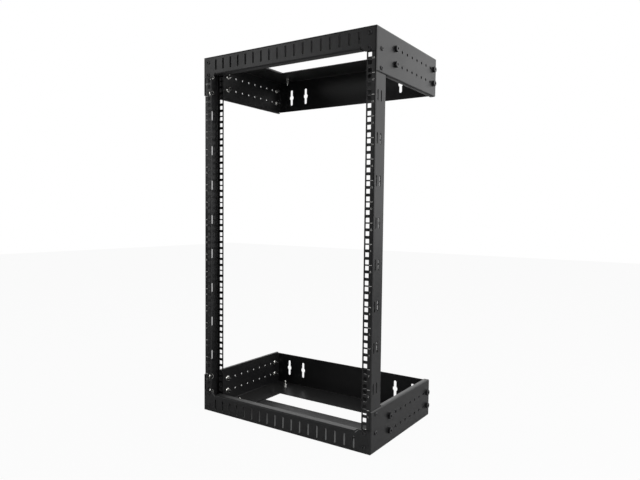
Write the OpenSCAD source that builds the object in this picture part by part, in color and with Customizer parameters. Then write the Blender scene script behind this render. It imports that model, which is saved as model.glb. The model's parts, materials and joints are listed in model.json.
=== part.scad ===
// Two post open frame rack for 19 inch equipment, standing on its bottom tray or bolted
// to a wall, set to its shortest depth. Millimetres; +X right, +Y towards the wall, +Z up.
// Two C-channel posts stand in the front corners of two mirrored sheet trays. A wall
// bracket slides inside each tray and is bolted to the tray's side walls.

/* [Rack] */
// Equipment height in rack units between the two trays
units = 18; // [8:2:24]
// Clear width between the posts' flanges
opening_w = 450; // [420:1:480]
// Height from a tray's outer face to the first rack unit
end_h = 52; // [51:0.5:60]

/* [Posts] */
// Depth of a post, front to back
post_d = 44; // [40:1:60]
// Width of a post's flanges
post_flange = 23; // [20:0.5:30]
// Sheet thickness of a post
post_t = 2; // [1.5:0.25:2.5]
// Outside bend radius of a post
post_bend_r = 3; // [2.75:0.25:4]
// Gap between a post's end and the tray's outer face
post_end_gap = 6; // [4.5:0.5:8]
// Side of a square equipment hole
square_w = 9.5; // [9.2:0.1:10]
// Distance from a flange's inner edge to the middle of its equipment holes
hole_inset = 7.55; // [7:0.05:8]
// Width of a cable slot in a post's web
web_slot_w = 4.5; // [4:0.5:6]
// Length of a cable slot in a post's web
web_slot_l = 24; // [16:1:30]
// Distance from a post's front to its first column of cable slots
web_slot_y = 9; // [8:0.5:12]
// Distance between the two columns of cable slots
web_slot_gap = 15; // [10:0.5:18]

/* [Trays] */
// Sheet thickness of a tray
tray_t = 2; // [1.5:0.25:2.5]
// Depth of a tray's floor and side walls
tray_d = 302; // [298:0.5:303]
// Height of a tray's side walls
wall_h = 95; // [93:0.5:105]
// Height of the front wall up to its folded lip
front_h = 46; // [44:0.5:48]
// Outside radius of a tray's bends
tray_bend_r = 4; // [3:0.25:4.5]
// Depth of the front wall's lip
front_lip = 18; // [12:0.5:22]
// Width of the side walls' lips
side_lip = 10; // [8:0.5:12]
// Distance between a post's back and the side lips
lip_relief = 5; // [3:0.5:10]
// Length of side wall behind the side lips
lip_tail = 7; // [6.5:0.5:12]
// Radius of a side wall's rear corner
wall_corner_r = 6; // [4:0.5:6.5]
// Width of an ear past the post's flange
ear_overhang = 4; // [2:0.5:6]
// Inward slope at an ear's inner edge
ear_slope = 12; // [8:0.5:14]
// Distance between cable slots in a front wall
front_slot_pitch = 24.4; // [20:0.1:30]
// Width of a cable slot in a front wall
front_slot_w = 5; // [3:0.5:8]
// Length of a cable slot in a front wall
front_slot_l = 27; // [20:0.5:30]
// Height of the middle of the front wall's slots
front_slot_z = 21.5; // [20:0.5:23]

/* [Floor cut-outs] */
// Width of floor beside the cut-outs, from a side wall's outer face
floor_side = 80; // [72:1:110]
// Distance from the rack's front to the cut-out in the tray floor
cut_front = 150; // [120:1:160]
// Depth of a wall bracket's full-width floor, from the wall face
bracket_floor = 91.8; // [60:0.1:110]
// Corner radius of the cut-outs
cut_r = 4; // [2:0.5:8]

/* [Wall brackets] */
// Distance from the trays' rear edges to the wall face
wall_gap = 2.8; // [2.8:0.1:4]
// Sheet thickness of a wall bracket
bracket_t = 2; // [1.5:0.25:2.5]
// Height of a wall bracket's top edge above the tray's outer face
bracket_h = 90; // [88:0.5:90.5]
// Outside bend radius of a wall bracket
bracket_bend_r = 3; // [2.75:0.25:4]
// Length that a bracket's arms reach past the front side bolts
arm_reach = 24; // [20:0.5:30]
// Distance between the two inner keyholes
inner_keyholes = 304.8; // [290:0.1:320]
// Distance between the two outer keyholes, the usual stud spacing of a wall
outer_keyholes = 406.4; // [395:0.1:420]
// Height of the keyholes' middles above the tray's outer face
keyhole_z = 50.8; // [48:0.1:54]
// Diameter of a keyhole's middle
keyhole_d = 14; // [12:0.5:16]
// Width of a keyhole's two slots
keyhole_slot_w = 8; // [6:0.5:9]
// Length over a keyhole's two slots
keyhole_l = 44.5; // [36:0.5:50]

/* [Depth setting] */
// Distance from the rack's front to the front side bolts
side_bolt_y = 84.2; // [82:0.1:90]
// Least distance from the rear side bolts to the trays' rear edges
side_bolt_margin = 10; // [8:0.5:13]
// Distance from the rack's front to the first open side hole
side_hole_y = 115.6; // [112:0.1:120]
// Pitch of the open side holes, one step of the rack's depth
side_hole_pitch = 25.4; // [25:0.1:26]
// Height of the side holes' outer row above the tray's outer face
side_row_z = 29.7; // [28:0.1:31]
// Distance between the two rows of side holes
side_row_gap = 33.6; // [31:0.1:36]

/* [Fasteners] */
// Diameter of every screw, bolt and stud
screw_d = 6; // [5:0.5:6]
// Clearance of a screw hole around its screw
hole_clearance = 0.3; // [0.2:0.05:0.5]
// Clearance between a nut's bore and its screw
nut_clearance = 0.3; // [0.3:0.05:0.4]
// Width of a nut across its flats
nut_af = 10; // [9:0.5:10.5]
// Height of a nut with its flange
nut_h = 6; // [5:0.5:7]
// Diameter of a nut's flange
nut_flange_d = 14; // [13.6:0.1:14.4]
// Thickness of a nut's flange
nut_flange_t = 1.4; // [1:0.1:2]
// Diameter of a pan head
pan_d = 10; // [9:0.5:11]
// Height of a pan head
pan_h = 2.4; // [2:0.1:3]
// Diameter of a side bolt's cap head
cap_d = 14; // [12:0.5:14.5]
// Height of a side bolt's cap head
cap_h = 6; // [4:0.5:8]
// Length of a screw past its nut
screw_tail = 1.5; // [0.5:0.5:3]
// Length of a side bolt past its nut
side_bolt_tail = 7; // [2:0.5:9]
// Length of a stud past its nut
stud_tail = 12; // [4:0.5:14]
// Distance from the rack's front to the screws in the posts' webs
post_screw_y = 21.3; // [20:0.1:24]
// Height of the lower post screw above the tray's outer face
post_screw_z = 44.2; // [42:0.1:46]
// Distance between the two post screws of a corner
post_screw_gap = 40.3; // [36:0.1:41]
// Distance from a side wall's outer face to the floor studs
stud_inset = 55; // [50:1:62]
// Distance from the rack's front to the front floor studs
stud_y = 76; // [74:0.5:90]
// Distance from the rear floor studs to the trays' rear edges
stud_rear = 30; // [20:0.5:40]

/* [Hidden] */
// Standard 19 inch rack unit and the heights of its three holes
UNIT = 44.45;
UNIT_HOLES = [UNIT / 7, UNIT / 2, UNIT * 6 / 7];
// How far a cutting tool runs past what it cuts
CUT = 1;
ROUND = 48;
SHEET_BLACK = [0.09, 0.09, 0.1];
SCREW_BLACK = [0.05, 0.05, 0.05];
ZINC = [0.75, 0.76, 0.78];

rack_h = units * UNIT + 2 * end_h;
rack_d = tray_d + wall_gap;
post_face_x = opening_w / 2 + post_flange;
body_w = 2 * (post_face_x + tray_t);
post_y = tray_t;
hole_x = opening_w / 2 + hole_inset;
screw_hole_r = screw_d / 2 + hole_clearance;
ear_w = tray_t + post_flange + ear_overhang;
front_wall_w = body_w - 2 * ear_w - 2 * ear_slope;
front_slots = floor(opening_w / front_slot_pitch);
cut_w = body_w - 2 * floor_side;
cut_back = rack_d - bracket_floor;
lip_start = post_y + post_d + lip_relief;
arm_start = side_bolt_y - arm_reach;
// The rear side bolts lie as many steps behind the front ones as the tray has room for
side_steps = floor((tray_d - side_bolt_y - side_bolt_margin) / side_hole_pitch);
side_holes = side_steps - 1;
side_bolt_ys = [side_bolt_y, side_bolt_y + side_steps * side_hole_pitch];
side_row_zs = [side_row_z, side_row_z + side_row_gap];
stud_x = body_w / 2 - stud_inset;
stud_ys = [stud_y, tray_d - stud_rear];
// The rack is centred front to back over its screw heads and wall faces
middle_y = (rack_d - pan_h) / 2;

// ---- shared forms ----

// Square outline with four round corners, its lower left corner at the origin
module round_outline(w, h, r) {
  translate([r, 0]) square([w - 2 * r, h]);
  translate([0, r]) square([w, h - 2 * r]);
  for (x = [r, w - r], y = [r, h - r])
    translate([x, y]) circle(r, $fn = ROUND);
}

// Closed ring of bent sheet
module sheet_ring(w, h, t, r) {
  difference() {
    round_outline(w, h, r);
    translate([t, t]) round_outline(w - 2 * t, h - 2 * t, r - t);
  }
}

// Outline swept along +X; its own x and y become Y and Z
module along_x(length) {
  rotate([90, 0, 90]) linear_extrude(length) children();
}

// Outline swept along +Y; its own x and y become X and Z
module along_y(length) {
  translate([0, length, 0]) rotate([90, 0, 0]) linear_extrude(length) children();
}

// Long hole with round ends, its middle at the origin
module slot_outline(w, l) {
  translate([-w / 2, w / 2 - l / 2]) square([w, l - w]);
  for (y = [w / 2 - l / 2, l / 2 - w / 2])
    translate([0, y]) circle(w / 2, $fn = ROUND);
}

module drill_x(x, y, z, r, length) {
  translate([x, y, z]) rotate([0, 90, 0]) cylinder(r = r, h = length, $fn = ROUND);
}

// Pan head screw with a hexagon socket; its head is above z = 0 and its shank below
module pan_screw(shank) {
  dome_r = pan_d * 0.85;
  flat_r = pan_d * 0.3;
  difference() {
    union() {
      intersection() {
        cylinder(d = pan_d, h = pan_h, $fn = ROUND);
        translate([0, 0, pan_h - sqrt(dome_r ^ 2 - flat_r ^ 2)]) sphere(dome_r, $fn = ROUND);
      }
      translate([0, 0, -shank]) cylinder(d = screw_d, h = shank + pan_h / 2, $fn = ROUND);
    }
    translate([0, 0, pan_h * 0.4]) cylinder(d = pan_d * 0.46, h = pan_h, $fn = 6);
  }
}

// Cap head bolt with a hexagon socket and a chamfered rim
module cap_bolt(shank) {
  rim = cap_h * 0.12;
  difference() {
    union() {
      cylinder(d = cap_d, h = cap_h - rim, $fn = ROUND);
      translate([0, 0, cap_h - rim])
        cylinder(d1 = cap_d, d2 = cap_d - 2 * rim, h = rim, $fn = ROUND);
      translate([0, 0, -shank]) cylinder(d = screw_d, h = shank + cap_h / 2, $fn = ROUND);
    }
    translate([0, 0, cap_h * 0.5]) cylinder(d = cap_d * 0.42, h = cap_h, $fn = 6);
  }
}

// Flanged hexagon nut standing on z = 0
module flange_nut() {
  difference() {
    union() {
      cylinder(d = nut_flange_d, h = nut_flange_t, $fn = ROUND);
      cylinder(d = nut_af / cos(30), h = nut_h, $fn = 6);
    }
    translate([0, 0, -CUT])
      cylinder(r = screw_d / 2 + nut_clearance, h = nut_h + 2 * CUT, $fn = ROUND);
  }
}

// Everything is drawn from the front wall's face backwards and then centred
module centred() {
  translate([0, -middle_y, 0]) children();
}

// The upper half of the rack mirrors the lower one, and the left side the right one
module upper(is_top) {
  translate([0, 0, is_top ? rack_h : 0]) mirror([0, 0, is_top ? 1 : 0]) children();
}

module sided(is_left) {
  mirror([is_left ? 1 : 0, 0, 0]) children();
}

// ---- posts ----

// C-channel outline: web on the outside, flanges turned in, front flange at y = 0
module post_outline() {
  intersection() {
    sheet_ring(2 * post_flange, post_d, post_t, post_bend_r);
    translate([post_flange, -CUT]) square([post_flange + CUT, post_d + 2 * CUT]);
  }
}

// Equipment holes run on by one unit behind the trays' front walls
module equipment_holes() {
  for (unit = [-1:units], rise = UNIT_HOLES)
    translate([hole_x - square_w / 2, post_y - CUT, end_h + unit * UNIT + rise - square_w / 2])
      cube([square_w, post_d + 2 * CUT, square_w]);
}

// Two slots side by side at every second unit boundary
module web_slots() {
  for (boundary = [2:2:units - 2], step = [0, 1])
    translate([post_face_x - post_t - CUT, post_y + web_slot_y + step * web_slot_gap,
               end_h + boundary * UNIT])
      along_x(post_t + 2 * CUT) slot_outline(web_slot_w, web_slot_l);
}

module right_hand_post() {
  color(SHEET_BLACK) centred() difference() {
    translate([post_face_x - 2 * post_flange, post_y, post_end_gap])
      linear_extrude(rack_h - 2 * post_end_gap) post_outline();
    equipment_holes();
    web_slots();
    for (from_end = [post_screw_z, post_screw_z + post_screw_gap],
         z = [from_end, rack_h - from_end])
      drill_x(post_face_x - post_t - CUT, post_screw_y, z, screw_hole_r, post_t + 2 * CUT);
  }
}

module right_post() right_hand_post();
module left_post() sided(true) right_hand_post();

// ---- trays ----

// Floor, side walls and in-turned side lips, seen from the front
module tray_outline() {
  difference() {
    sheet_ring(body_w, wall_h, tray_t, tray_bend_r);
    translate([side_lip, wall_h / 2]) square([body_w - 2 * side_lip, wall_h]);
  }
}

// Floor strip, front wall and lip, seen from the side
module front_outline() {
  intersection() {
    sheet_ring(2 * front_lip, front_h, tray_t, tray_bend_r);
    translate([-CUT, -CUT]) square([front_lip + CUT, front_h + 2 * CUT]);
  }
}

// Side view of a tray: round at the bottom front edge and the upper rear corner
module tray_side_outline() {
  translate([tray_bend_r, 0]) square([tray_d - tray_bend_r, wall_h - wall_corner_r]);
  translate([0, tray_bend_r]) square([tray_d - wall_corner_r, wall_h - tray_bend_r]);
  translate([tray_bend_r, tray_bend_r]) circle(tray_bend_r, $fn = ROUND);
  translate([tray_d - wall_corner_r, wall_h - wall_corner_r]) circle(wall_corner_r, $fn = ROUND);
}

// Block that rounds the corners where three bends meet
module tray_block() {
  intersection() {
    translate([-body_w / 2, 0, 0]) along_x(body_w) tray_side_outline();
    translate([-body_w / 2, 0, 0]) linear_extrude(wall_h)
      round_outline(body_w, 2 * tray_d, tray_bend_r);
    translate([-body_w / 2, 0, 0]) along_y(tray_d)
      round_outline(body_w, 2 * wall_h, tray_bend_r);
  }
}

// Front wall with an ear in front of each post; the ears end at the first rack unit
module front_wall() {
  ear_x = body_w / 2 - ear_w;
  translate([-front_wall_w / 2, 0, 0]) along_x(front_wall_w) front_outline();
  for (side = [-1, 1])
    along_y(tray_t) polygon([
      [side * (front_wall_w / 2 - CUT), 0],
      [side * body_w / 2, 0],
      [side * body_w / 2, end_h],
      [side * ear_x, end_h],
      [side * front_wall_w / 2, end_h - ear_slope],
      [side * (front_wall_w / 2 - CUT), end_h - ear_slope],
    ]);
}

module front_slots_cut() {
  for (i = [0:front_slots - 1])
    translate([(i - (front_slots - 1) / 2) * front_slot_pitch, -CUT, front_slot_z])
      along_y(tray_t + 2 * CUT) slot_outline(front_slot_w, front_slot_l);
}

// Room for the post: the side walls have no lip beside it and behind the last hole
module lip_ends_cut() {
  inner_w = body_w - 2 * tray_t;
  for (y = [-CUT, tray_d - lip_tail])
    translate([-inner_w / 2, y, wall_h - tray_bend_r])
      cube([inner_w, (y < 0 ? lip_start : lip_tail) + CUT, tray_bend_r + CUT]);
}

// Cut-out open towards the wall, with round front corners
module floor_cut(front) {
  translate([-cut_w / 2, front, -CUT]) linear_extrude(2 * wall_h)
    round_outline(cut_w, 2 * rack_d, cut_r);
}

// Rows of side holes, through the tray and the bracket arm alike
module side_hole_rows() {
  ys = concat(side_bolt_ys, [for (i = [0:side_holes - 1]) side_hole_y + i * side_hole_pitch]);
  for (y = ys, z = side_row_zs)
    drill_x(-body_w / 2 - CUT, y, z, screw_hole_r, body_w + 2 * CUT);
}

module tray() {
  difference() {
    intersection() {
      union() {
        translate([-body_w / 2, 0, 0]) along_y(tray_d) tray_outline();
        front_wall();
      }
      tray_block();
    }
    lip_ends_cut();
    front_slots_cut();
    floor_cut(cut_front);
    side_hole_rows();
    for (z = [post_screw_z, post_screw_z + post_screw_gap])
      drill_x(-body_w / 2 - CUT, post_screw_y, z, screw_hole_r, body_w + 2 * CUT);
    for (x = [-hole_x, hole_x], rise = [UNIT_HOLES[0], UNIT_HOLES[2]])
      translate([x, -CUT, end_h - UNIT + rise]) rotate([-90, 0, 0])
        cylinder(r = screw_hole_r, h = tray_t + 2 * CUT, $fn = ROUND);
  }
}

module bottom_tray() color(SHEET_BLACK) centred() tray();
module top_tray() color(SHEET_BLACK) upper(true) centred() tray();

// ---- wall brackets ----

module keyhole_outline() {
  circle(d = keyhole_d, $fn = ROUND);
  slot_outline(keyhole_slot_w, keyhole_l);
}

// Bent sheet pan, open at the top and at the arms' front end, drawn with its wall at y = 0
module bracket_pan(inset) {
  w = 2 * (post_face_x - inset);
  r = bracket_bend_r - inset;
  length = rack_d - arm_start;
  intersection() {
    translate([-w / 2, inset, inset]) along_y(length) round_outline(w, 3 * bracket_h, r);
    translate([-w / 2, inset, inset]) linear_extrude(bracket_h) round_outline(w, 3 * length, r);
    translate([-w / 2, inset, inset]) along_x(w) round_outline(3 * length, 3 * bracket_h, r);
  }
}

module wall_bracket() {
  length = rack_d - arm_start;
  difference() {
    translate([0, rack_d, tray_t]) mirror([0, 1, 0]) intersection() {
      difference() {
        bracket_pan(0);
        bracket_pan(bracket_t);
      }
      translate([-body_w / 2, -CUT, -CUT])
        cube([body_w, length + CUT, bracket_h - tray_t + CUT]);
    }
    translate([-cut_w / 2, arm_start - cut_back, -CUT]) linear_extrude(wall_h)
      round_outline(cut_w, 2 * cut_back - arm_start, cut_r);
    side_hole_rows();
    for (x = [inner_keyholes, outer_keyholes] / 2, side = [-1, 1])
      translate([side * x, rack_d - bracket_t - CUT, keyhole_z])
        along_y(bracket_t + 2 * CUT) keyhole_outline();
    stud_places() cylinder(r = screw_hole_r, h = wall_h / 2, $fn = ROUND);
  }
}

module bottom_wall_bracket() color(SHEET_BLACK) centred() wall_bracket();
module top_wall_bracket() color(SHEET_BLACK) upper(true) centred() wall_bracket();

// ---- fasteners, each drawn at the bottom right corner ----

// Two screws hold each ear on the post, through the unit behind the front wall
module panel_screw_places() {
  for (rise = [UNIT_HOLES[0], UNIT_HOLES[2]])
    translate([hole_x, 0, end_h - UNIT + rise]) rotate([90, 0, 0]) children();
}

module panel_screws() {
  color(SCREW_BLACK) centred() panel_screw_places()
    pan_screw(tray_t + post_t + nut_h + screw_tail);
}

module panel_nuts() {
  color(ZINC) centred() translate([0, tray_t + post_t, 0]) panel_screw_places()
    mirror([0, 0, 1]) flange_nut();
}

// Two screws hold each side wall on the post's web
module post_screw_places() {
  for (z = [post_screw_z, post_screw_z + post_screw_gap])
    translate([0, post_screw_y, z]) rotate([0, 90, 0]) children();
}

module post_screws() {
  color(SCREW_BLACK) centred() translate([body_w / 2, 0, 0]) post_screw_places()
    pan_screw(tray_t + post_t + nut_h + screw_tail);
}

module post_nuts() {
  color(ZINC) centred() translate([post_face_x - post_t, 0, 0]) post_screw_places()
    mirror([0, 0, 1]) flange_nut();
}

// Four bolts hold each bracket arm in the tray
module side_bolt_places() {
  for (y = side_bolt_ys, z = side_row_zs)
    translate([0, y, z]) rotate([0, 90, 0]) children();
}

module side_bolts() {
  color(SCREW_BLACK) centred() translate([body_w / 2, 0, 0]) side_bolt_places()
    cap_bolt(tray_t + bracket_t + nut_h + side_bolt_tail);
}

module side_nuts() {
  color(ZINC) centred() translate([post_face_x - bracket_t, 0, 0]) side_bolt_places()
    mirror([0, 0, 1]) flange_nut();
}

// Studs on the tray's floor hold the bracket's floor down
module stud_places() {
  for (x = [-stud_x, stud_x], y = stud_ys)
    translate([x, y, 0]) children();
}

module tray_studs() {
  color(ZINC) centred() translate([0, 0, tray_t]) stud_places()
    cylinder(d = screw_d, h = bracket_t + nut_h + stud_tail, $fn = ROUND);
}

module stud_nuts() {
  color(ZINC) centred() translate([0, 0, tray_t + bracket_t]) stud_places() flange_nut();
}

module bottom_right_panel_screws() panel_screws();
module bottom_left_panel_screws() sided(true) panel_screws();
module top_right_panel_screws() upper(true) panel_screws();
module top_left_panel_screws() upper(true) sided(true) panel_screws();
module bottom_right_panel_nuts() panel_nuts();
module bottom_left_panel_nuts() sided(true) panel_nuts();
module top_right_panel_nuts() upper(true) panel_nuts();
module top_left_panel_nuts() upper(true) sided(true) panel_nuts();
module bottom_right_post_screws() post_screws();
module bottom_left_post_screws() sided(true) post_screws();
module top_right_post_screws() upper(true) post_screws();
module top_left_post_screws() upper(true) sided(true) post_screws();
module bottom_right_post_nuts() post_nuts();
module bottom_left_post_nuts() sided(true) post_nuts();
module top_right_post_nuts() upper(true) post_nuts();
module top_left_post_nuts() upper(true) sided(true) post_nuts();
module bottom_right_side_bolts() side_bolts();
module bottom_left_side_bolts() sided(true) side_bolts();
module top_right_side_bolts() upper(true) side_bolts();
module top_left_side_bolts() upper(true) sided(true) side_bolts();
module bottom_right_side_nuts() side_nuts();
module bottom_left_side_nuts() sided(true) side_nuts();
module top_right_side_nuts() upper(true) side_nuts();
module top_left_side_nuts() upper(true) sided(true) side_nuts();
module bottom_tray_studs() tray_studs();
module top_tray_studs() upper(true) tray_studs();
module bottom_stud_nuts() stud_nuts();
module top_stud_nuts() upper(true) stud_nuts();

left_post();
right_post();
top_tray();
bottom_tray();
top_wall_bracket();
bottom_wall_bracket();
top_left_panel_screws();
top_right_panel_screws();
bottom_left_panel_screws();
bottom_right_panel_screws();
top_left_panel_nuts();
top_right_panel_nuts();
bottom_left_panel_nuts();
bottom_right_panel_nuts();
top_left_post_screws();
top_right_post_screws();
bottom_left_post_screws();
bottom_right_post_screws();
top_left_post_nuts();
top_right_post_nuts();
bottom_left_post_nuts();
bottom_right_post_nuts();
top_left_side_bolts();
top_right_side_bolts();
bottom_left_side_bolts();
bottom_right_side_bolts();
top_left_side_nuts();
top_right_side_nuts();
bottom_left_side_nuts();
bottom_right_side_nuts();
top_tray_studs();
bottom_tray_studs();
top_stud_nuts();
bottom_stud_nuts();
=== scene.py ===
"""Finishes, threaded fasteners, unit marks and a studio for a two post open frame rack.

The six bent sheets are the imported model's own; every screw, bolt, nut and stud is replaced
by a threaded one, and the posts get the printed number of each rack unit.
"""

import json
import math

import bmesh
import bpy
import numpy as np
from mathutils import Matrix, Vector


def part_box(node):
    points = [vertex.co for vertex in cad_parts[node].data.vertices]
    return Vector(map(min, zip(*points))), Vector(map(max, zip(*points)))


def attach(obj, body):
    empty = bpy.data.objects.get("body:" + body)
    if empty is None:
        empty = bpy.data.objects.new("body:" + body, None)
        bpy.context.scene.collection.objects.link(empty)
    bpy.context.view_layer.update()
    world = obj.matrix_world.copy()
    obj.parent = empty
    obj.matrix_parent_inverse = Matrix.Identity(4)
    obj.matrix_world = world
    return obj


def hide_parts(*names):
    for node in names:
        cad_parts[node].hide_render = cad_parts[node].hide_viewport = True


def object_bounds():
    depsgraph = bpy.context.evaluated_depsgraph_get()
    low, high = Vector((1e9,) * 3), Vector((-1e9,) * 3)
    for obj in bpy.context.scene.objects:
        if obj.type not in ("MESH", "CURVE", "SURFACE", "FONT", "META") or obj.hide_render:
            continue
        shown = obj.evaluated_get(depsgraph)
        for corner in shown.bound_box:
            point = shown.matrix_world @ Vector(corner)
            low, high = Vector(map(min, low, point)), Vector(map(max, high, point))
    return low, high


bl_info = {
    "name": "Two Post Rack Finish",
    "version": (1, 0, 0),
    "blender": (4, 5, 0),
    "location": "View3D > Sidebar > Rack",
    "description": "Finishes, threaded fasteners, unit marks and a studio for an open frame rack",
    "category": "Object",
}

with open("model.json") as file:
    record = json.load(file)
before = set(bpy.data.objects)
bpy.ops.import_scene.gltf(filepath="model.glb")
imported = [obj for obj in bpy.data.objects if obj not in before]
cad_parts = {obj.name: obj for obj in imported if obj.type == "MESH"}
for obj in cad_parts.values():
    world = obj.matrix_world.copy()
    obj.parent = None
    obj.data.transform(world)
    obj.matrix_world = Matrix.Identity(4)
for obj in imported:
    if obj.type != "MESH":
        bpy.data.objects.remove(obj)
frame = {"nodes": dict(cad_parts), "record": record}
CAD_LOW, CAD_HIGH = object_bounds()
NODES = frame["nodes"]
MOUNTS = {m["name"]: np.array(m["pos_m"]) for m in frame["record"]["mounts"]}

BODY = "root"
SHEETS = (
    "left_post",
    "right_post",
    "top_tray",
    "bottom_tray",
    "top_wall_bracket",
    "bottom_wall_bracket",
)
CORNERS = ("top_left", "top_right", "bottom_left", "bottom_right")
ENDS = ("top", "bottom")
UNITS = 18
MM = 0.001
TURN = 2 * math.pi

# Edges that turn by more than this stay sharp, and points closer than MERGE are one
SHARP_ANGLE = math.radians(38)
MERGE = 1e-7
# Like fasteners stand farther apart than this across their axis
BAND_GAP = 8 * MM
# Threaded lengths of the two kinds of screw, and a digit's height as part of its type size
PAN_THREAD = 4 * MM
CAP_THREAD = 9 * MM
DIGIT_SHARE = 0.7
# Strength of the world in reflections, from the front of the rack to behind it, and in the rest
FRONT_GLOW = 0.05
REAR_GLOW = 1.35
DIM_GLOW = 0.08
# How much of the floor glows white to the camera, how far it reaches, and the camera's shift
FLOOR_GLOW = 0.95
FLOOR_REACH = 6.0
CAMERA_SHIFT = (-0.027, 0.0083)
# Each soft light's place, its width and height, and the setting that holds its power
LIGHTS = {
    "right_light": ((2.2, -0.4, 1.2), (1.6, 1.8), "key_strength"),
    "top_light": ((0.3, 0.1, 2.6), (1.8, 1.8), "top_strength"),
    "left_light": ((-1.6, -1.9, 1.3), (1.2, 1.2), "fill_strength"),
}

TRAY_LOW, TRAY_HIGH = (np.array(corner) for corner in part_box("bottom_tray"))
POST_LOW, POST_HIGH = (np.array(corner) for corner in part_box("right_post"))


# ---- sizes and colours that a user may change ----


def length(name, description, default, high=0.1):
    """A length in metres, shown with its unit."""
    return bpy.props.FloatProperty(
        name=name,
        description=description,
        default=default,
        min=0.0,
        max=high,
        precision=5,
        unit="LENGTH",
    )


def colour(name, description, default):
    """A linear RGB colour."""
    return bpy.props.FloatVectorProperty(
        name=name,
        description=description,
        default=default,
        min=0.0,
        max=1.0,
        subtype="COLOR",
    )


def share(name, description, default, high=1.0):
    """A number without a unit."""
    return bpy.props.FloatProperty(
        name=name, description=description, default=default, min=0.0, max=high
    )


class RackFasteners(bpy.types.PropertyGroup):
    """Sizes of the threaded fasteners."""

    thread_pitch: length("Thread pitch", "Rise of the thread in one turn", 1.0 * MM)
    thread_depth: length("Thread depth", "Height of the thread's ridge", 0.55 * MM)
    shank_width: length("Shank width", "Diameter over the thread", 6.0 * MM)
    pan_socket: length("Pan head socket", "Width across the socket's flats", 4.0 * MM)
    cap_socket: length("Cap head socket", "Width across the socket's flats", 5.0 * MM)
    socket_chamfer: length("Socket chamfer", "Width of a socket's chamfer", 0.25 * MM)
    knurl_depth: length("Knurl depth", "Depth of the cap heads' knurl", 0.22 * MM)
    nut_width: length("Nut width", "Width across a nut's flats", 10.0 * MM)
    flange_edge: length("Flange edge", "Height of a nut flange's rim", 0.7 * MM)
    plain_end: length("Plain end", "Length of a shank's chamfered tip", 0.7 * MM)


class RackMarks(bpy.types.PropertyGroup):
    """Sizes of the printed unit numbers and ticks."""

    digit_height: length("Digit height", "Height of a printed digit", 4.4 * MM)
    tick_length: length("Tick length", "Length of a unit boundary's tick", 6.4 * MM)
    tick_width: length("Tick width", "Width of a unit boundary's tick", 1.3 * MM)
    number_drop: length("Number drop", "From a tick down to its number", 14.3 * MM)
    outer_inset: length("Inset", "From a post's outer face to the marks", 6.5 * MM)
    ink_thickness: length("Ink thickness", "Thickness of the print", 0.06 * MM)


class RackFinish(bpy.types.PropertyGroup):
    """Colours and gloss of the finishes."""

    powder: colour("Powder coat", "Colour of the bent sheets", (0.0125, 0.0126, 0.0132))
    powder_worn: colour(
        "Rubbed powder coat", "Colour along rubbed edges", (0.05, 0.051, 0.054)
    )
    powder_gloss: share("Powder roughness", "Roughness of the powder coat", 0.38)
    oxide: colour("Black oxide", "Colour of the black screws", (0.008, 0.008, 0.009))
    oxide_worn: colour("Rubbed oxide", "Colour of bare rims", (0.1, 0.097, 0.094))
    zinc: colour("Zinc plate", "Colour of the nuts and studs", (0.74, 0.755, 0.78))
    zinc_tint: colour("Zinc tint", "Second colour of the plating", (0.62, 0.6, 0.52))
    ink: colour("Ink", "Colour of the printed marks", (0.72, 0.72, 0.7))


class RackStudio(bpy.types.PropertyGroup):
    """The camera's place and the strength of the lights."""

    camera_place: bpy.props.FloatVectorProperty(
        name="Camera place",
        description="Where the camera stands",
        default=(0.82421, -1.17784, 0.51422),
        unit="LENGTH",
    )
    camera_turn: bpy.props.FloatProperty(
        name="Camera turn",
        description="Turn to the right of +Y",
        default=math.radians(-32.932),
        unit="ROTATION",
    )
    camera_tilt: bpy.props.FloatProperty(
        name="Camera tilt",
        description="Tilt above the horizon",
        default=math.radians(-3.158),
        unit="ROTATION",
    )
    camera_roll: bpy.props.FloatProperty(
        name="Camera roll",
        description="Roll about the line of sight",
        default=math.radians(0.726),
        unit="ROTATION",
    )
    lens: share("Lens", "Focal length in millimetres", 31.669, 200.0)
    key_strength: share("Key light", "Power of the right light in watts", 30.0, 1e4)
    top_strength: share("Top light", "Power of the top light in watts", 15.0, 1e4)
    fill_strength: share("Fill light", "Power of the left light in watts", 8.0, 1e4)
    floor: colour("Floor", "Colour of the floor", (0.82, 0.82, 0.82))


# ---- turned and hexagonal surfaces ----


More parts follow.
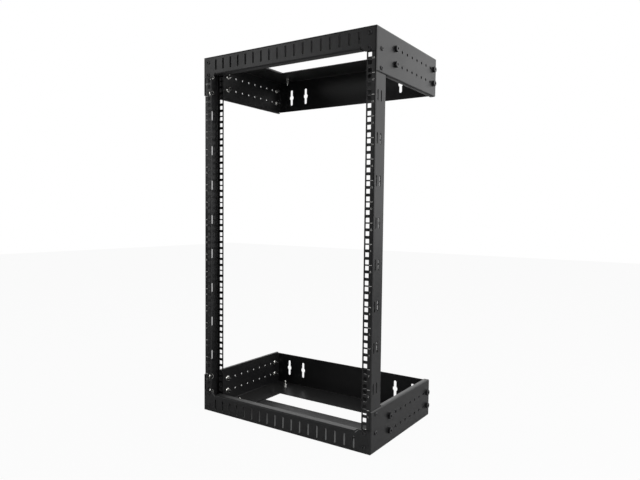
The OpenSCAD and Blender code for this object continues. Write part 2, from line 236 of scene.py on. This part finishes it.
class Turning:
    """Rings of points stacked along +Z, each ring a radius for every angle round the
    axis.
    """

    def __init__(self, columns):
        self.angle = np.arange(columns) * (TURN / columns)
        self.radii, self.heights = [], []

    def ring(self, radius, height):
        """One ring; radius is a number, or an array with one value for each angle."""
        self.radii.append(np.broadcast_to(radius, self.angle.shape)[None])
        self.heights.append(np.full((1, len(self.angle)), float(height)))
        return self

    def hexagon(self, across, height, limit=1.0):
        """A ring on a hexagon: half the width over its flats, divided by the cosine of
        the angle from the nearest flat's middle, and no more than limit.
        """
        off_flat = np.mod(self.angle, TURN / 6) - TURN / 12
        return self.ring(np.minimum(across / 2 / np.cos(off_flat), limit), height)

    def rounded(self, start, end, bulge, steps):
        """Rings on a quarter ellipse between two (radius, height) points; bulge says
        which of the two moves first: 1 the radius, 0 the height.
        """
        along = np.linspace(0, TURN / 4, steps + 2)[1:-1]
        first, last = np.sin(along), 1 - np.cos(along)
        by_radius, by_height = (first, last) if bulge else (last, first)
        for r, h in zip(by_radius, by_height, strict=True):
            self.ring(
                start[0] + (end[0] - start[0]) * r, start[1] + (end[1] - start[1]) * h
            )
        return self

    def knurl(self, radius, height, depth, ridges):
        """A ring whose radius dips by a cosine wave with this many ridges round the
        axis.
        """
        return self.ring(
            radius - depth * (0.5 - 0.5 * np.cos(ridges * self.angle)), height
        )

    def thread(self, high, low, crest, depth, pitch):
        """Rings from high down to low. The radius is the core's plus the ridge, a
        triangle wave of height over pitch plus angle over a turn, cut flat at its
        root and crest, and faded out over the first and last half turn.
        """
        rows = max(int(round((high - low) / pitch * 6)), 2)
        height = np.linspace(high, low, rows)[:, None]
        phase = np.mod(height / pitch - self.angle / TURN, 1.0)
        ridge = np.clip(1.5 * (1 - np.abs(2 * phase - 1)) - 0.25, 0, 1)
        fade = np.clip(np.minimum(high - height, height - low) / (pitch / 2), 0, 1)
        self.radii.append(crest - depth * (1 - ridge * fade))
        self.heights.append(np.broadcast_to(height, ridge.shape))
        return self

    def surface(self, closed=False):
        """The rings' points, and the quads that join each ring to the next; closed
        joins the last to the first.
        """
        radius, height = np.concatenate(self.radii), np.concatenate(self.heights)
        points = np.stack(
            [radius * np.cos(self.angle), radius * np.sin(self.angle), height], -1
        )
        rows, columns = radius.shape
        row, column = np.indices((rows if closed else rows - 1, columns))
        below, beside = (row + 1) % rows, (column + 1) % columns
        quads = np.stack(
            [
                row * columns + column,
                below * columns + column,
                below * columns + beside,
                row * columns + beside,
            ],
            -1,
        )
        return points.reshape(-1, 3), quads.reshape(-1, 4)


def outward(points, quads):
    """The quads, turned round if the volume inside them, a sum of tetrahedra to the
    origin, is below zero.
    """
    a, b, c, d = (points[quads[:, k]] for k in range(4))
    volume = np.einsum("ij,ij->", a, np.cross(b, c) + np.cross(c, d))
    return quads if volume > 0 else quads[:, ::-1]


def placed(surface, origins, axis):
    """Copies of a surface, its +Z turned to the axis and its foot moved to each origin.
    """
    points, quads = surface
    quads = outward(points, quads)
    axis = np.array(axis, float)
    side = np.roll(np.abs(axis), 1)
    turn = np.stack([side, np.cross(axis, side), axis])
    copies = points @ turn + np.array(origins)[:, None, :]
    steps = np.arange(len(origins))[:, None, None] * len(points)
    return copies.reshape(-1, 3), (quads + steps).reshape(-1, 4)


def make_piece(name, surface, material, node=None):
    """A mesh piece of the rack that rides on its body and stands for a node. Points
    that fall together at a pole are merged.
    """
    points, faces = surface
    mesh = bpy.data.meshes.new(name)
    mesh.from_pydata(points.tolist(), [], faces.tolist())
    shape = bmesh.new()
    shape.from_mesh(mesh)
    bmesh.ops.remove_doubles(shape, verts=shape.verts, dist=MERGE)
    shape.to_mesh(mesh)
    shape.free()
    mesh.shade_smooth()
    mesh.set_sharp_from_angle(angle=SHARP_ANGLE)
    mesh.materials.append(material)
    piece = bpy.data.objects.new(name, mesh)
    bpy.context.scene.collection.objects.link(piece)
    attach(piece, BODY)
    if node:
        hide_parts(node)
    return piece


def middles(node, axis):
    """The middles of a node's like solids. Across the axis its points fall into
    separate bands, and a solid stands where two bands cross.
    """
    co = np.zeros(len(NODES[node].data.vertices) * 3, np.float32)
    NODES[node].data.vertices.foreach_get("co", co)
    co = co.reshape(-1, 3)
    bands = []
    for k in range(3):
        values = np.sort(co[:, k])
        cuts = np.flatnonzero(np.diff(values) > BAND_GAP) + 1
        parts = np.split(values, cuts) if k != axis else [values]
        bands.append([(part[0] + part[-1]) / 2 for part in parts])
    return np.stack(np.meshgrid(*bands, indexing="ij"), -1).reshape(-1, 3)


# ---- finishes ----


class Value:
    """A shader socket that can be used in sums: each operator adds its Math node."""

    def __init__(self, nodes, socket):
        self.nodes, self.socket = nodes, socket

    def math(self, operation, *values, clamp=False):
        """The result of a Math node on these values."""
        return self.nodes.node(
            "ShaderNodeMath",
            {"operation": operation, "use_clamp": clamp},
            dict(enumerate(values)),
        )

    def __add__(self, other):
        return self.math("ADD", self, other)

    __radd__ = __add__

    def __sub__(self, other):
        return self.math("SUBTRACT", self, other)

    def __rsub__(self, other):
        return self.math("SUBTRACT", other, self)

    def __mul__(self, other):
        return self.math("MULTIPLY", self, other)

    __rmul__ = __mul__

    def clamped(self):
        """The value, kept between 0 and 1."""
        return self.math("ADD", self, 0.0, clamp=True)


class Nodes:
    """A node tree that is written as a sum of values."""

    def __init__(self, tree):
        self.tree = tree

    def node(self, kind, settings=None, inputs=None, output=0):
        """Adds a node: its settings first, then the values or links of its sockets."""
        node = self.tree.nodes.new(kind)
        for key, value in (settings or {}).items():
            setattr(node, key, value)
        for key, value in (inputs or {}).items():
            if isinstance(value, Value):
                self.tree.links.new(value.socket, node.inputs[key])
            else:
                node.inputs[key].default_value = value
        return Value(self, node.outputs[output] if node.outputs else None)

    def range(self, value, low, high):
        """0 below low, 1 above high, and smooth between."""
        return self.node(
            "ShaderNodeMapRange",
            {"interpolation_type": "SMOOTHSTEP"},
            {"Value": value, "From Min": low, "From Max": high},
        )


class Paint(Nodes):
    """One material's nodes round a Principled shader."""

    def __init__(self, name, **constants):
        self.material = bpy.data.materials.new(name)
        self.material.use_nodes = True
        super().__init__(self.material.node_tree)
        self.tree.nodes.clear()
        self.shader = self.tree.nodes.new("ShaderNodeBsdfPrincipled")
        output = self.tree.nodes.new("ShaderNodeOutputMaterial")
        self.tree.links.new(self.shader.outputs[0], output.inputs["Surface"])
        for socket, value in constants.items():
            self.shader.inputs[socket.replace("_", " ")].default_value = value
        self.place = self.node("ShaderNodeTexCoord", output="Object")

    def set(self, **links):
        """Links values to the shader's sockets."""
        for socket, value in links.items():
            self.tree.links.new(
                value.socket, self.shader.inputs[socket.replace("_", " ")]
            )

    def noise(self, features, detail=3.0, stretch=(1, 1, 1)):
        """Noise from 0 to 1 whose features are about this many metres wide."""
        place = self.node(
            "ShaderNodeVectorMath",
            {"operation": "MULTIPLY"},
            {0: self.place, 1: stretch},
        )
        return self.node(
            "ShaderNodeTexNoise",
            inputs={"Vector": place, "Scale": 1 / features, "Detail": detail},
        )

    def mix(self, factor, first, second):
        """A blend of two colours."""
        return self.node(
            "ShaderNodeMix",
            {"data_type": "RGBA"},
            {0: factor, 6: first, 7: second},
            output=2,
        )

    def bump(self, height, distance, normal=None):
        """A normal pushed about by a height."""
        inputs = {"Height": height, "Distance": distance}
        if normal:
            inputs["Normal"] = normal
        return self.node("ShaderNodeBump", inputs=inputs)

    def edges(self, radius):
        """The normal of rounded edges, and how far it leans from the surface's own: 0
        on a flat and 1 on a sharp edge.
        """
        rounded = self.node("ShaderNodeBevel", {"samples": 4}, {"Radius": radius})
        own = self.node("ShaderNodeNewGeometry", output="Normal")
        along = self.node(
            "ShaderNodeVectorMath",
            {"operation": "DOT_PRODUCT"},
            {0: rounded, 1: own},
            output="Value",
        )
        return rounded, self.range(1 - along, 0.02, 0.25)

    def facing_up(self):
        """1 on surfaces that face up and 0 on the rest."""
        normal = self.node("ShaderNodeNewGeometry", output="Normal")
        parts = self.node("ShaderNodeSeparateXYZ", inputs={0: normal}, output="Z")
        return self.range(parts, 0.6, 0.95)


def rgba(colour_value):
    return (*colour_value, 1.0)


def powder_coat(finish):
    """Satin black powder: a fine grain over a soft orange peel, a cloudy gloss, faint
    dust on what faces up and lighter, rubbed edges.
    """
    paint = Paint("powder_coat", IOR=1.5)
    rounded, edge = paint.edges(0.5 * MM)
    cloud = paint.noise(70 * MM)
    grain = paint.noise(0.55 * MM, detail=2.0)
    peel = paint.noise(2.6 * MM, detail=2.0)
    patch = paint.noise(9 * MM)
    specks = paint.range(paint.noise(1.4 * MM, detail=4.0), 0.68, 0.78)
    base = paint.mix(
        0.35 * cloud + 0.3 * grain,
        rgba(0.72 * c for c in finish.powder),
        rgba(1.35 * c for c in finish.powder),
    )
    rub = (edge * paint.range(patch, 0.35, 0.62) * 0.55).clamped()
    worn = paint.mix(rub, base, rgba(finish.powder_worn))
    dust = (paint.facing_up() * (0.01 + 0.05 * cloud) + specks * 0.03).clamped()
    paint.set(
        Base_Color=paint.mix(dust, worn, (0.3, 0.295, 0.285, 1.0)),
        Roughness=(
            finish.powder_gloss + 0.16 * (cloud - 0.5) + 0.1 * (grain - 0.5) - 0.06 * rub
        ).clamped(),
        Normal=paint.bump(
            grain,
            0.035 * MM,
            normal=paint.bump(peel, 0.03 * MM, normal=rounded),
        ),
    )
    return paint.material


def black_oxide(finish):
    """Black oxide on machined steel: a thin dark film with a fine grain, and steel
    showing where a rim or the socket is rubbed.
    """
    paint = Paint("black_oxide", IOR=1.6)
    rounded, edge = paint.edges(0.25 * MM)
    grain = paint.noise(0.3 * MM, detail=2.0)
    patch = paint.noise(3 * MM)
    bare = (edge * paint.range(patch, 0.42, 0.7) * 0.35).clamped()
    tone = paint.mix(
        patch,
        rgba(0.7 * c for c in finish.oxide),
        rgba(1.5 * c for c in finish.oxide),
    )
    paint.set(
        Base_Color=paint.mix(bare, tone, rgba(finish.oxide_worn)),
        Metallic=0.8 * bare,
        Roughness=(0.26 + 0.14 * patch + 0.08 * grain).clamped(),
        Normal=paint.bump(grain, 0.012 * MM, normal=rounded),
    )
    return paint.material


def zinc_plate(finish):
    """Bright zinc: metal with drawn marks, a drifting blue to straw tint and dull
    spots.
    """
    paint = Paint("zinc_plate", Metallic=1.0)
    rounded, edge = paint.edges(0.2 * MM)
    drift = paint.noise(4 * MM)
    spots = paint.range(paint.noise(1.1 * MM, detail=4.0), 0.56, 0.72)
    lines = paint.noise(0.4 * MM, detail=1.0, stretch=(1, 1, 4))
    tone = paint.mix(drift, rgba(finish.zinc), rgba(finish.zinc_tint))
    paint.set(
        Base_Color=paint.mix(0.35 * spots, tone, (0.38, 0.38, 0.37, 1.0)),
        Roughness=(0.17 + 0.12 * drift + 0.18 * spots - 0.05 * edge).clamped(),
        Normal=paint.bump(lines, 0.008 * MM, normal=rounded),
    )
    return paint.material


def unit_ink(finish):
    """White screen print: a matt film, thin in places, with a slight grain from the
    powder under it.
    """
    paint = Paint("unit_ink", IOR=1.45)
    thin = paint.range(paint.noise(0.9 * MM, detail=3.0), 0.5, 0.8)
    grain = paint.noise(0.5 * MM, detail=2.0)
    paint.set(
        Base_Color=paint.mix(
            0.3 * thin, rgba(finish.ink), rgba(0.55 * c for c in finish.ink)
        ),
        Roughness=(0.5 + 0.2 * grain).clamped(),
        Normal=paint.bump(grain, 0.02 * MM),
    )
    return paint.material


def finish_of(name, make, context):
    """The finish of this name, made the first time that it is asked for."""
    return bpy.data.materials.get(name) or make(context.scene.rack_finish)


# ---- fasteners ----


def pan_head_screw(sizes, head_radius, head_height, shank, columns=48):
    """A pan head above z = 0 with a hexagon socket, and a shank below. The profile runs
    from the socket's floor over the dome and down the shank to its tip.
    """
    radius, chamfer = sizes.shank_width / 2, sizes.socket_chamfer
    socket = sizes.pan_socket
    top = head_height
    opening = socket / 2 / math.cos(TURN / 12) + chamfer
    dome = Turning(columns)
    dome.ring(0, 0.35 * top).hexagon(0.9 * socket, 0.35 * top)
    dome.hexagon(socket, 0.42 * top).hexagon(socket, top - chamfer)
    dome.ring(opening, top)
    dome.rounded((opening, top), (head_radius, 0.25 * top), 1, 7)
    dome.ring(head_radius, 0.25 * top).ring(head_radius - 0.1 * MM, 0)
    dome.ring(radius, 0)
    return shank_below(dome, sizes, shank, PAN_THREAD).surface()


def shank_below(turning, sizes, shank, threaded):
    """Adds a shank from z = 0 down: plain, then threaded, then a chamfered tip."""
    radius, depth = sizes.shank_width / 2, sizes.thread_depth
    start = threaded + sizes.plain_end - shank
    turning.ring(radius, start)
    turning.thread(
        start, sizes.plain_end - shank, radius, depth, sizes.thread_pitch
    )
    turning.ring(radius - depth, sizes.plain_end - shank)
    turning.ring(radius - 1.6 * depth, -shank)
    return turning.ring(0, -shank)


def cap_head_bolt(sizes, head_radius, head_height, shank, columns=96):
    """A knurled cap head above z = 0 with a hexagon socket, and a shank below. The
    knurl is a cosine wave round the rim.
    """
    radius, chamfer = sizes.shank_width / 2, sizes.socket_chamfer
    top, edge, socket = head_height, 0.1 * head_height, sizes.cap_socket
    opening = socket / 2 / math.cos(TURN / 12) + chamfer
    knurl = sizes.knurl_depth
    cap = Turning(columns)
    cap.ring(0, 0.4 * top).hexagon(0.9 * socket, 0.4 * top)
    cap.hexagon(socket, 0.45 * top).hexagon(socket, top - chamfer)
    cap.ring(opening, top).ring(head_radius - 2.2 * edge, top)
    cap.rounded(
        (head_radius - 2.2 * edge, top), (head_radius - knurl, top - edge), 1, 4
    )
    cap.ring(head_radius - knurl, top - edge)
    for height in (0.84 * top, 0.2 * top):
        cap.knurl(head_radius, height, knurl, columns // 3)
    cap.ring(head_radius - knurl, 0.14 * top).ring(head_radius - knurl, 0.03 * top)
    cap.ring(head_radius - 1.5 * knurl, 0).ring(radius, 0)
    return shank_below(cap, sizes, shank, CAP_THREAD).surface()


def flanged_nut(sizes, height, flange_radius, columns=48):
    """A flanged hexagon nut on z = 0. The hexagon is cut by cones at its top and runs
    out in the flange's slope; the bore is plain, a little wider than the shank.
    """
    bore, depth = sizes.shank_width / 2 + 0.05 * MM, sizes.thread_depth
    across = sizes.nut_width
    corner = across / 2 / math.cos(TURN / 12)
    rim = sizes.flange_edge
    nut = Turning(columns)
    nut.ring(bore, 0.2 * MM).ring(bore + 0.3 * MM, 0).ring(flange_radius - 0.2 * MM, 0)
    nut.ring(flange_radius, 0.15 * MM).ring(flange_radius, rim - 0.15 * MM)
    nut.ring(flange_radius - 0.15 * MM, rim)
    nut.hexagon(across, 2.1 * rim, corner).hexagon(across, height - 0.9 * MM, corner)
    nut.hexagon(across, height - 0.55 * MM, corner - 0.25 * MM)
    nut.hexagon(across, height, across / 2 - 0.1 * MM)
    nut.ring(bore + 0.35 * MM, height)
    nut.ring(bore, height - 0.35 * MM)
    return nut.surface(closed=True)


def threaded_stud(sizes, height, columns=48):
    """A stud from z = 0 up, threaded from its foot to a chamfered tip."""
    radius, depth = sizes.shank_width / 2, sizes.thread_depth
    stud = Turning(columns)
    stud.ring(0, height).ring(radius - 1.6 * depth, height)
    stud.ring(radius - depth, height - sizes.plain_end)
    stud.thread(
        height - sizes.plain_end, 1 * MM, radius, depth, sizes.thread_pitch
    )
    return stud.ring(radius, 0).ring(0, 0).surface()


def seated(node, axis, seat):
    """Where a node's fasteners stand: their middles, moved along the axis to the seat.
    """
    k = int(np.argmax(np.abs(axis)))
    origins = middles(node, k)
    origins[:, k] = seat
    return origins


def extent(node, axis):
    """A node's lowest and highest point along an axis's line."""
    k = int(np.argmax(np.abs(axis)))
    low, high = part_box(node)
    return low[k], high[k]


def outside(corner):
    """The direction out of the rack's side at a corner, and the side wall's outer face.
    """
    side = -1 if "left" in corner else 1
    return (side, 0, 0), side * TRAY_HIGH[0]


class RACK_OT_panel_screws(bpy.types.Operator):
    """Screws that hold the trays' ears on the posts"""

    bl_idname = "rack.panel_screws"
    bl_label = "Panel screws"

    def execute(self, context):
        sizes = context.scene.rack_fasteners
        material = finish_of("black_oxide", black_oxide, context)
        axis, seat = (0, -1, 0), TRAY_LOW[1]
        for corner in CORNERS:
            node = f"{corner}_panel_screws"
            low, high = extent(node, axis)
            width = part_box(node)[1][0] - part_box(node)[0][0]
            screw = pan_head_screw(sizes, width / 2, seat - low, high - seat)
            surface = placed(screw, seated(node, axis, seat), axis)
            make_piece(
                f"{corner}_panel_screw_set", surface, material, node
            )
        return {"FINISHED"}


class RACK_OT_post_screws(bpy.types.Operator):
    """Screws that hold the trays' side walls on the posts"""

    bl_idname = "rack.post_screws"
    bl_label = "Post screws"

    def execute(self, context):
        sizes = context.scene.rack_fasteners
        material = finish_of("black_oxide", black_oxide, context)
        for corner in CORNERS:
            node = f"{corner}_post_screws"
            axis, seat = outside(corner)
            low, high = sorted(abs(x) for x in extent(node, axis))
            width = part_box(node)[1][1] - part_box(node)[0][1]
            screw = pan_head_screw(sizes, width / 2, high - abs(seat), abs(seat) - low)
            surface = placed(screw, seated(node, axis, seat), axis)
            make_piece(
                f"{corner}_post_screw_set", surface, material, node
            )
        return {"FINISHED"}


class RACK_OT_side_bolts(bpy.types.Operator):
    """Cap head bolts that hold the wall brackets in the trays"""

    bl_idname = "rack.side_bolts"
    bl_label = "Side bolts"

    def execute(self, context):
        sizes = context.scene.rack_fasteners
        material = finish_of("black_oxide", black_oxide, context)
        for corner in CORNERS:
            node = f"{corner}_side_bolts"
            axis, seat = outside(corner)
            low, high = sorted(abs(x) for x in extent(node, axis))
            origins = seated(node, axis, seat)
            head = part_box(node)[1][1] - origins[:, 1].max()
            bolt = cap_head_bolt(sizes, head, high - abs(seat), abs(seat) - low)
            surface = placed(bolt, origins, axis)
            make_piece(
                f"{corner}_side_bolt_set", surface, material, node
            )
        return {"FINISHED"}


class RACK_OT_nuts(bpy.types.Operator):
    """Flanged nuts on the screws, bolts and studs"""

    bl_idname = "rack.nuts"
    bl_label = "Flanged nuts"

    def execute(self, context):
        for corner in CORNERS:
            inward = tuple(-x for x in outside(corner)[0])
            self.nuts(context, f"{corner}_panel_nuts", (0, 1, 0))
            self.nuts(context, f"{corner}_post_nuts", inward)
            self.nuts(context, f"{corner}_side_nuts", inward)
        self.nuts(context, "bottom_stud_nuts", (0, 0, 1))
        self.nuts(context, "top_stud_nuts", (0, 0, -1))
        return {"FINISHED"}

    def nuts(self, context, node, axis):
        """A node's nuts, each seated with its flange at the end that the axis leaves.
        """
        k = int(np.argmax(np.abs(axis)))
        low, high = extent(node, axis)
        seat = low if axis[k] > 0 else high
        across = (k + 1) % 3
        origins = seated(node, axis, seat)
        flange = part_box(node)[1][across] - origins[:, across].max()
        nut = flanged_nut(context.scene.rack_fasteners, high - low, flange)
        material = finish_of("zinc_plate", zinc_plate, context)
        name = node.replace("nuts", "nut_set")
        make_piece(name, placed(nut, origins, axis), material, node)


class RACK_OT_studs(bpy.types.Operator):
    """Threaded studs on the trays' floors"""

    bl_idname = "rack.studs"
    bl_label = "Floor studs"

    def execute(self, context):
        material = finish_of("zinc_plate", zinc_plate, context)
        for end in ENDS:
            node = f"{end}_tray_studs"
            axis = (0, 0, 1) if end == "bottom" else (0, 0, -1)
            low, high = extent(node, axis)
            seat = low if end == "bottom" else high
            stud = threaded_stud(context.scene.rack_fasteners, high - low)
            surface = placed(stud, seated(node, axis, seat), axis)
            make_piece(f"{end}_stud_set", surface, material, node)
        return {"FINISHED"}


# ---- printed marks ----


def slab(low, high):
    """A closed box between two corners: its eight corners are the products of the two
    ends along each axis.
    """
    corners = np.stack(
        np.meshgrid(*np.transpose([low, high]), indexing="ij"), -1
    ).reshape(-1, 3)
    faces = np.array(
        [
            [0, 1, 3, 2],
            [4, 6, 7, 5],
            [0, 4, 5, 1],
            [2, 3, 7, 6],
            [0, 2, 6, 4],
            [1, 5, 7, 3],
        ]
    )
    return corners, faces


def printed_number(number, height, thickness):
    """The points and faces of a number as a thin closed slab, centred on its own
    middle, standing in the XZ plane and facing -Y.
    """
    curve = bpy.data.curves.new(f"number_{number}", "FONT")
    curve.body = str(number)
    curve.size = height / DIGIT_SHARE
    curve.extrude = thickness / 2
    curve.resolution_u = 4
    holder = bpy.data.objects.new(curve.name, curve)
    bpy.context.scene.collection.objects.link(holder)
    mesh = holder.to_mesh()
    points = np.zeros(len(mesh.vertices) * 3)
    mesh.vertices.foreach_get("co", points)
    points = points.reshape(-1, 3)[:, [0, 2, 1]] * (1, -1, 1)
    points -= (points.min(0) + points.max(0)) / 2
    faces = [list(face.vertices) for face in mesh.polygons]
    holder.to_mesh_clear()
    bpy.data.objects.remove(holder)
    bpy.data.curves.remove(curve)
    return points, faces


class RACK_OT_unit_marks(bpy.types.Operator):
    """Printed ticks and numbers of the rack units on both posts"""

    bl_idname = "rack.unit_marks"
    bl_label = "Unit marks"

    def execute(self, context):
        marks = context.scene.rack_marks
        material = finish_of("unit_ink", unit_ink, context)
        first, last = (MOUNTS[f"unit_{n:02d}_right_lower_hole"] for n in (1, UNITS))
        unit = (last[2] - first[2]) / (UNITS - 1)
        floor = first[2] - unit / 7
        face = POST_LOW[1]
        half = np.array([marks.tick_length / 2, 0, marks.tick_width / 2])
        for side, sign in (("left", -1), ("right", 1)):
            middle = sign * (POST_HIGH[0] - marks.outer_inset)
            points, faces = [], []
            for n in range(1, UNITS + 1):
                top = floor + n * unit
                tick = np.array([middle, face, top])
                far = tick + half
                far[1] = face - marks.ink_thickness
                solids = [slab(tick - half, far)] if n < UNITS else []
                number, outline = printed_number(
                    n, marks.digit_height, marks.ink_thickness
                )
                below = (
                    middle,
                    face - marks.ink_thickness / 2,
                    top - marks.number_drop,
                )
                for some, ring in [*solids, (number + below, outline)]:
                    start = sum(len(p) for p in points)
                    points.append(some)
                    faces += [[int(v) + start for v in corners] for corners in ring]
            mesh = bpy.data.meshes.new(f"{side}_unit_marks")
            mesh.from_pydata(np.concatenate(points).tolist(), [], faces)
            shape = bmesh.new()
            shape.from_mesh(mesh)
            bmesh.ops.remove_doubles(shape, verts=shape.verts, dist=MERGE)
            bmesh.ops.recalc_face_normals(shape, faces=shape.faces)
            shape.to_mesh(mesh)
            shape.free()
            mesh.materials.append(material)
            piece = bpy.data.objects.new(mesh.name, mesh)
            context.scene.collection.objects.link(piece)
            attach(piece, BODY)
        return {"FINISHED"}


class RACK_OT_powder_coat(bpy.types.Operator):
    """Powder coat on the posts, trays and wall brackets"""

    bl_idname = "rack.powder_coat"
    bl_label = "Powder coat"

    def execute(self, context):
        material = finish_of("powder_coat", powder_coat, context)
        for name in SHEETS:
            for place in NODES[name].material_slots:
                place.link = "OBJECT"
                place.material = material
        return {"FINISHED"}


# ---- studio ----


def camera_matrix(studio):
    """The camera's place and axes: forward from its turn and tilt, right level with the
    floor, both then rolled about the line of sight.
    """
    turn, tilt, roll = studio.camera_turn, studio.camera_tilt, studio.camera_roll
    forward = np.array(
        [
            math.sin(turn) * math.cos(tilt),
            math.cos(turn) * math.cos(tilt),
            math.sin(tilt),
        ]
    )
    level = np.array([math.cos(turn), -math.sin(turn), 0])
    up = np.cross(level, forward)
    right = math.cos(roll) * level + math.sin(roll) * up
    over = math.cos(roll) * up - math.sin(roll) * level
    matrix = np.eye(4)
    matrix[:3, :3] = np.stack([right, over, -forward], 1)
    matrix[:3, 3] = studio.camera_place
    return matrix


def soft_light(name, place, target, width, height, power):
    """An area light of this size at a place, aimed at a target."""
    data = bpy.data.lights.new(name, "AREA")
    data.shape, data.size, data.size_y = "RECTANGLE", width, height
    data.energy = power
    light = bpy.data.objects.new(name, data)
    back = np.array(place, float) - target
    back /= np.linalg.norm(back)
    side = np.cross((0, 0, 1) if abs(back[2]) < 0.95 else (0, 1, 0), back)
    side /= np.linalg.norm(side)
    matrix = np.eye(4)
    matrix[:3, :3] = np.stack([side, np.cross(back, side), back], 1)
    matrix[:3, 3] = place
    light.matrix_world = matrix.T.tolist()
    bpy.context.scene.collection.objects.link(light)
    return light


def studio_world():
    """White to the camera. In reflections it is a sweep, dark in front of the rack and
    white behind it; for all other light it is a dim grey.
    """
    world = bpy.data.worlds.new("studio")
    world.use_nodes = True
    world.node_tree.nodes.clear()
    sky = Nodes(world.node_tree)
    way = sky.node("ShaderNodeTexCoord", output="Generated")
    behind = sky.node(
        "ShaderNodeVectorMath",
        {"operation": "DOT_PRODUCT"},
        {0: way, 1: (0.25, 0.97, 0.0)},
        output="Value",
    )
    sweep = FRONT_GLOW + REAR_GLOW * sky.range(behind, -0.1, 0.85)
    camera = sky.node("ShaderNodeLightPath", output="Is Camera Ray")
    glossy = sky.node("ShaderNodeLightPath", output="Is Glossy Ray")
    other = (1 - camera) * (1 - glossy)
    shown = sky.node(
        "ShaderNodeBackground",
        inputs={
            "Color": (1.0, 1.0, 1.0, 1.0),
            "Strength": camera + glossy * sweep + DIM_GLOW * other,
        },
    )
    sky.node("ShaderNodeOutputWorld", inputs={"Surface": shown})
    return world


def studio_floor(studio):
    """A wide square floor. To the camera it is partly a white glow, so that the rack's
    shadow shows faintly on white.
    """
    paint = Paint("studio_floor", Roughness=0.9)
    paint.shader.inputs["Base Color"].default_value = rgba(studio.floor)
    tree = paint.tree
    ray = tree.nodes.new("ShaderNodeLightPath")
    glow = tree.nodes.new("ShaderNodeEmission")
    blend = tree.nodes.new("ShaderNodeMixShader")
    weight = tree.nodes.new("ShaderNodeMath")
    weight.operation = "MULTIPLY"
    weight.inputs[1].default_value = FLOOR_GLOW
    tree.links.new(ray.outputs["Is Camera Ray"], weight.inputs[0])
    tree.links.new(weight.outputs[0], blend.inputs[0])
    tree.links.new(paint.shader.outputs[0], blend.inputs[1])
    tree.links.new(glow.outputs[0], blend.inputs[2])
    output = next(n for n in tree.nodes if n.type == "OUTPUT_MATERIAL")
    tree.links.new(blend.outputs[0], output.inputs["Surface"])
    mesh = bpy.data.meshes.new("studio_floor")
    corners = [(x, y, CAD_LOW[2]) for x, y in ((-1, -1), (1, -1), (1, 1), (-1, 1))]
    mesh.from_pydata(
        [(x * FLOOR_REACH, y * FLOOR_REACH, z) for x, y, z in corners], [], [(0, 1, 2, 3)]
    )
    mesh.materials.append(paint.material)
    floor = bpy.data.objects.new("studio_floor", mesh)
    bpy.context.scene.collection.objects.link(floor)


class RACK_OT_stage(bpy.types.Operator):
    """A pale floor, soft lights and the camera"""

    bl_idname = "rack.stage"
    bl_label = "Studio"

    def execute(self, context):
        studio = context.scene.rack_studio
        context.scene.world = studio_world()
        studio_floor(studio)
        middle = (np.array(CAD_LOW) + np.array(CAD_HIGH)) / 2
        for name, (place, size, power) in LIGHTS.items():
            soft_light(name, place, middle, *size, getattr(studio, power))
        data = bpy.data.cameras.new("camera")
        data.lens = studio.lens
        data.shift_x, data.shift_y = CAMERA_SHIFT
        camera = bpy.data.objects.new("camera", data)
        camera.matrix_world = camera_matrix(studio).T.tolist()
        context.scene.collection.objects.link(camera)
        context.scene.camera = camera
        context.scene.view_settings.view_transform = "Standard"
        return {"FINISHED"}


class RACK_PT_panel(bpy.types.Panel):
    """The rack's steps in the 3D view's sidebar"""

    bl_idname = "RACK_PT_panel"
    bl_label = "Rack finish"
    bl_space_type = "VIEW_3D"
    bl_region_type = "UI"
    bl_category = "Rack"

    def draw(self, context):
        for operator in OPERATORS:
            self.layout.operator(operator.bl_idname)
        for group in GROUPS:
            box = self.layout.box()
            settings = getattr(context.scene, group)
            for name in settings.__annotations__:
                box.prop(settings, name)


GROUPS = {
    "rack_fasteners": RackFasteners,
    "rack_marks": RackMarks,
    "rack_finish": RackFinish,
    "rack_studio": RackStudio,
}
OPERATORS = (
    RACK_OT_powder_coat,
    RACK_OT_panel_screws,
    RACK_OT_post_screws,
    RACK_OT_side_bolts,
    RACK_OT_nuts,
    RACK_OT_studs,
    RACK_OT_unit_marks,
    RACK_OT_stage,
)
CLASSES = (*GROUPS.values(), *OPERATORS, RACK_PT_panel)


def register():
    for cls in CLASSES:
        bpy.utils.register_class(cls)
    for name, group in GROUPS.items():
        setattr(bpy.types.Scene, name, bpy.props.PointerProperty(type=group))


def unregister():
    for name in GROUPS:
        delattr(bpy.types.Scene, name)
    for cls in reversed(CLASSES):
        bpy.utils.unregister_class(cls)


def main():
    """Runs every step in order."""
    register()
    for operator in OPERATORS:
        group, step = operator.bl_idname.split(".")
        getattr(getattr(bpy.ops, group), step)()


if __name__ == "__main__":
    main()
